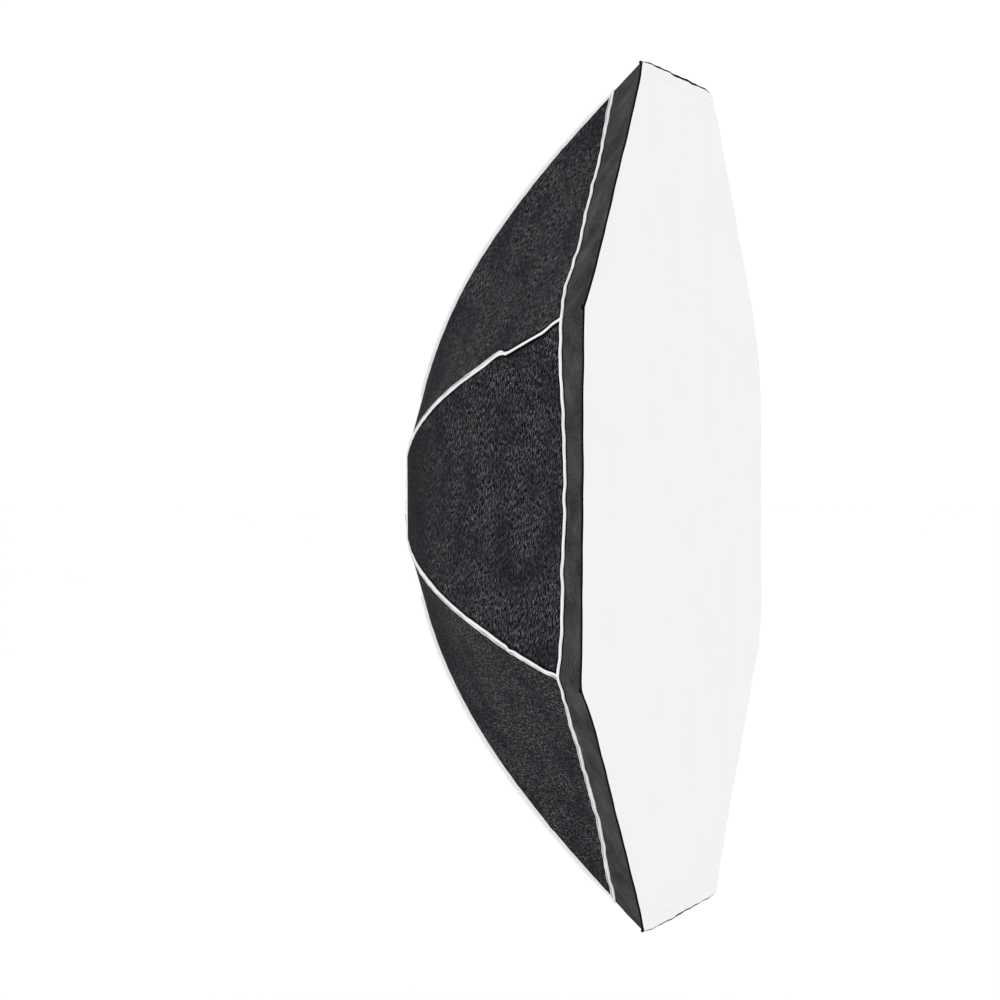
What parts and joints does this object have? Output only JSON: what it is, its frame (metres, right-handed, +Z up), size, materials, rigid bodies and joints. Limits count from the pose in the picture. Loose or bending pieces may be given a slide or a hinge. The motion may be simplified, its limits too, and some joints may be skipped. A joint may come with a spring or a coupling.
{
  "type": "studio softbox",
  "caption": "Octagonal folding studio softbox: black fabric canopy on hinged rods, rotating speedring, white front diffuser and inner baffle.",
  "frame": {"origin": "centre of the bayonet insert's rear face, where the flash head seats", "axes": "+Z up; the light leaves along -Y; +Y points back along the optical axis into the flash head"},
  "size_m": [1.0002, 0.3251, 1.0002],
  "materials": {
    "canopy_cloth": "matt pebbled weave",
    "lip_cloth": "matt smooth weave",
    "diffuser_cloth": "matt translucent weave",
    "baffle_cloth": "matt translucent weave",
    "lining": "silver coated weave",
    "piping": "grosgrain binding",
    "elastic": "ribbed elastic",
    "ring_casting": "satin",
    "insert_metal": "satin",
    "bright_steel": "satin",
    "moulded_black": "satin",
    "rod_fibreglass": "satin"
  },
  "bodies": {
    "flash_insert": {"mount_insert": "insert_metal"},
    "speedring": {"speedring_body": "ring_casting", "retaining_ring": "ring_casting", "retaining_screw_1": "bright_steel", "retaining_screw_2": "bright_steel", "retaining_screw_3": "bright_steel", "retaining_screw_4": "bright_steel", "hinge_pin_1": "bright_steel", "hinge_pin_2": "bright_steel", "hinge_pin_3": "bright_steel", "hinge_pin_4": "bright_steel", "hinge_pin_5": "bright_steel", "hinge_pin_6": "bright_steel", "hinge_pin_7": "bright_steel", "hinge_pin_8": "bright_steel", "lip_band": "lip_cloth", "front_diffuser": "diffuser_cloth", "inner_baffle": "baffle_cloth"},
    "lock_knob": {"lock_knob": "moulded_black"},
    "rod_arm_1": {"ring_socket_1": "moulded_black", "rod_1": "rod_fibreglass", "baffle_strap_1": "elastic"},
    "panel_1": {"canopy_panel_1": "canopy_cloth"},
    "pocket_1": {"corner_pocket_1": "moulded_black"},
    "rod_arm_2": {"ring_socket_2": "moulded_black", "rod_2": "rod_fibreglass", "baffle_strap_2": "elastic"},
    "panel_2": {"canopy_panel_2": "canopy_cloth"},
    "pocket_2": {"corner_pocket_2": "moulded_black"},
    "rod_arm_3": {"ring_socket_3": "moulded_black", "rod_3": "rod_fibreglass", "baffle_strap_3": "elastic"},
    "panel_3": {"canopy_panel_3": "canopy_cloth"},
    "pocket_3": {"corner_pocket_3": "moulded_black"},
    "rod_arm_4": {"ring_socket_4": "moulded_black", "rod_4": "rod_fibreglass", "baffle_strap_4": "elastic"},
    "panel_4": {"canopy_panel_4": "canopy_cloth"},
    "pocket_4": {"corner_pocket_4": "moulded_black"},
    "rod_arm_5": {"ring_socket_5": "moulded_black", "rod_5": "rod_fibreglass", "baffle_strap_5": "elastic"},
    "panel_5": {"canopy_panel_5": "canopy_cloth"},
    "pocket_5": {"corner_pocket_5": "moulded_black"},
    "rod_arm_6": {"ring_socket_6": "moulded_black", "rod_6": "rod_fibreglass", "baffle_strap_6": "elastic"},
    "panel_6": {"canopy_panel_6": "canopy_cloth"},
    "pocket_6": {"corner_pocket_6": "moulded_black"},
    "rod_arm_7": {"ring_socket_7": "moulded_black", "rod_7": "rod_fibreglass", "baffle_strap_7": "elastic"},
    "panel_7": {"canopy_panel_7": "canopy_cloth"},
    "pocket_7": {"corner_pocket_7": "moulded_black"},
    "rod_arm_8": {"ring_socket_8": "moulded_black", "rod_8": "rod_fibreglass", "baffle_strap_8": "elastic"},
    "panel_8": {"canopy_panel_8": "canopy_cloth"},
    "pocket_8": {"corner_pocket_8": "moulded_black"}
  },
  "joints": [
    {"name": "ring_spin", "type": "hinge", "parent": "flash_insert", "child": "speedring", "pos_m": [0, 0, 0], "axis": [0, 1, 0], "continuous": true},
    {"name": "knob_turn", "type": "hinge", "parent": "speedring", "child": "lock_knob", "pos_m": [0.1, -0.008, 0], "axis": [1, 0, 0], "range_deg": [0, 360]},
    {"name": "rod_fold_1", "type": "hinge", "parent": "speedring", "child": "rod_arm_1", "pos_m": [0.09146, -0.026, 0.03789], "axis": [0.3827, 0, -0.9239], "range_deg": [0, 52], "deforming": ["lip_band", "front_diffuser", "inner_baffle"]},
    {"name": "panel_fold_1", "type": "hinge", "parent": "speedring", "child": "panel_1", "pos_m": [0.08166, -0.016, 0.08166], "axis": [0.7071, 0, -0.7071], "range_deg": [0, 55], "deforming": ["canopy_panel_1"]},
    {"name": "pocket_turn_1", "type": "hinge", "parent": "rod_arm_1", "child": "pocket_1", "pos_m": [0.47291, -0.31097, 0.19589], "axis": [0.3827, 0, -0.9239], "range_deg": [0, 26]},
    {"name": "rod_fold_2", "type": "hinge", "parent": "speedring", "child": "rod_arm_2", "pos_m": [0.03789, -0.026, 0.09146], "axis": [0.9239, 0, -0.3827], "range_deg": [0, 52]},
    {"name": "panel_fold_2", "type": "hinge", "parent": "speedring", "child": "panel_2", "pos_m": [0, -0.016, 0.11549], "axis": [1, 0, 0], "range_deg": [0, 55], "deforming": ["canopy_panel_2"]},
    {"name": "pocket_turn_2", "type": "hinge", "parent": "rod_arm_2", "child": "pocket_2", "pos_m": [0.19589, -0.31097, 0.47291], "axis": [0.9239, 0, -0.3827], "range_deg": [0, 26]},
    {"name": "rod_fold_3", "type": "hinge", "parent": "speedring", "child": "rod_arm_3", "pos_m": [-0.03789, -0.026, 0.09146], "axis": [0.9239, 0, 0.3827], "range_deg": [0, 52]},
    {"name": "panel_fold_3", "type": "hinge", "parent": "speedring", "child": "panel_3", "pos_m": [-0.08166, -0.016, 0.08166], "axis": [0.7071, 0, 0.7071], "range_deg": [0, 55], "deforming": ["canopy_panel_3"]},
    {"name": "pocket_turn_3", "type": "hinge", "parent": "rod_arm_3", "child": "pocket_3", "pos_m": [-0.19589, -0.31097, 0.47291], "axis": [0.9239, 0, 0.3827], "range_deg": [0, 26]},
    {"name": "rod_fold_4", "type": "hinge", "parent": "speedring", "child": "rod_arm_4", "pos_m": [-0.09146, -0.026, 0.03789], "axis": [0.3827, 0, 0.9239], "range_deg": [0, 52]},
    {"name": "panel_fold_4", "type": "hinge", "parent": "speedring", "child": "panel_4", "pos_m": [-0.11549, -0.016, 0], "axis": [0, 0, 1], "range_deg": [0, 55], "deforming": ["canopy_panel_4"]},
    {"name": "pocket_turn_4", "type": "hinge", "parent": "rod_arm_4", "child": "pocket_4", "pos_m": [-0.47291, -0.31097, 0.19589], "axis": [0.3827, 0, 0.9239], "range_deg": [0, 26]},
    {"name": "rod_fold_5", "type": "hinge", "parent": "speedring", "child": "rod_arm_5", "pos_m": [-0.09146, -0.026, -0.03789], "axis": [-0.3827, 0, 0.9239], "range_deg": [0, 52]},
    {"name": "panel_fold_5", "type": "hinge", "parent": "speedring", "child": "panel_5", "pos_m": [-0.08166, -0.016, -0.08166], "axis": [-0.7071, 0, 0.7071], "range_deg": [0, 55], "deforming": ["canopy_panel_5"]},
    {"name": "pocket_turn_5", "type": "hinge", "parent": "rod_arm_5", "child": "pocket_5", "pos_m": [-0.47291, -0.31097, -0.19589], "axis": [-0.3827, 0, 0.9239], "range_deg": [0, 26]},
    {"name": "rod_fold_6", "type": "hinge", "parent": "speedring", "child": "rod_arm_6", "pos_m": [-0.03789, -0.026, -0.09146], "axis": [-0.9239, 0, 0.3827], "range_deg": [0, 52]},
    {"name": "panel_fold_6", "type": "hinge", "parent": "speedring", "child": "panel_6", "pos_m": [0, -0.016, -0.11549], "axis": [-1, 0, 0], "range_deg": [0, 55], "deforming": ["canopy_panel_6"]},
    {"name": "pocket_turn_6", "type": "hinge", "parent": "rod_arm_6", "child": "pocket_6", "pos_m": [-0.19589, -0.31097, -0.47291], "axis": [-0.9239, 0, 0.3827], "range_deg": [0, 26]},
    {"name": "rod_fold_7", "type": "hinge", "parent": "speedring", "child": "rod_arm_7", "pos_m": [0.03789, -0.026, -0.09146], "axis": [-0.9239, 0, -0.3827], "range_deg": [0, 52]},
    {"name": "panel_fold_7", "type": "hinge", "parent": "speedring", "child": "panel_7", "pos_m": [0.08166, -0.016, -0.08166], "axis": [-0.7071, 0, -0.7071], "range_deg": [0, 55], "deforming": ["canopy_panel_7"]},
    {"name": "pocket_turn_7", "type": "hinge", "parent": "rod_arm_7", "child": "pocket_7", "pos_m": [0.19589, -0.31097, -0.47291], "axis": [-0.9239, 0, -0.3827], "range_deg": [0, 26]},
    {"name": "rod_fold_8", "type": "hinge", "parent": "speedring", "child": "rod_arm_8", "pos_m": [0.09146, -0.026, -0.03789], "axis": [-0.3827, 0, -0.9239], "range_deg": [0, 52]},
    {"name": "panel_fold_8", "type": "hinge", "parent": "speedring", "child": "panel_8", "pos_m": [0.11549, -0.016, 0], "axis": [0, 0, -1], "range_deg": [0, 55], "deforming": ["canopy_panel_8"]},
    {"name": "pocket_turn_8", "type": "hinge", "parent": "rod_arm_8", "child": "pocket_8", "pos_m": [0.47291, -0.31097, -0.19589], "axis": [-0.3827, 0, -0.9239], "range_deg": [0, 26]}
  ],
  "couplings": [
    {"joint": "panel_fold_1", "follows": "rod_fold_1", "ratio": 1.04},
    {"joint": "pocket_turn_1", "follows": "rod_fold_1", "ratio": 0.47},
    {"joint": "rod_fold_2", "follows": "rod_fold_1", "ratio": 1},
    {"joint": "panel_fold_2", "follows": "rod_fold_1", "ratio": 1.04},
    {"joint": "pocket_turn_2", "follows": "rod_fold_1", "ratio": 0.47},
    {"joint": "rod_fold_3", "follows": "rod_fold_1", "ratio": 1},
    {"joint": "panel_fold_3", "follows": "rod_fold_1", "ratio": 1.04},
    {"joint": "pocket_turn_3", "follows": "rod_fold_1", "ratio": 0.47},
    {"joint": "rod_fold_4", "follows": "rod_fold_1", "ratio": 1},
    {"joint": "panel_fold_4", "follows": "rod_fold_1", "ratio": 1.04},
    {"joint": "pocket_turn_4", "follows": "rod_fold_1", "ratio": 0.47},
    {"joint": "rod_fold_5", "follows": "rod_fold_1", "ratio": 1},
    {"joint": "panel_fold_5", "follows": "rod_fold_1", "ratio": 1.04},
    {"joint": "pocket_turn_5", "follows": "rod_fold_1", "ratio": 0.47},
    {"joint": "rod_fold_6", "follows": "rod_fold_1", "ratio": 1},
    {"joint": "panel_fold_6", "follows": "rod_fold_1", "ratio": 1.04},
    {"joint": "pocket_turn_6", "follows": "rod_fold_1", "ratio": 0.47},
    {"joint": "rod_fold_7", "follows": "rod_fold_1", "ratio": 1},
    {"joint": "panel_fold_7", "follows": "rod_fold_1", "ratio": 1.04},
    {"joint": "pocket_turn_7", "follows": "rod_fold_1", "ratio": 0.47},
    {"joint": "rod_fold_8", "follows": "rod_fold_1", "ratio": 1},
    {"joint": "panel_fold_8", "follows": "rod_fold_1", "ratio": 1.04},
    {"joint": "pocket_turn_8", "follows": "rod_fold_1", "ratio": 0.47}
  ]
}
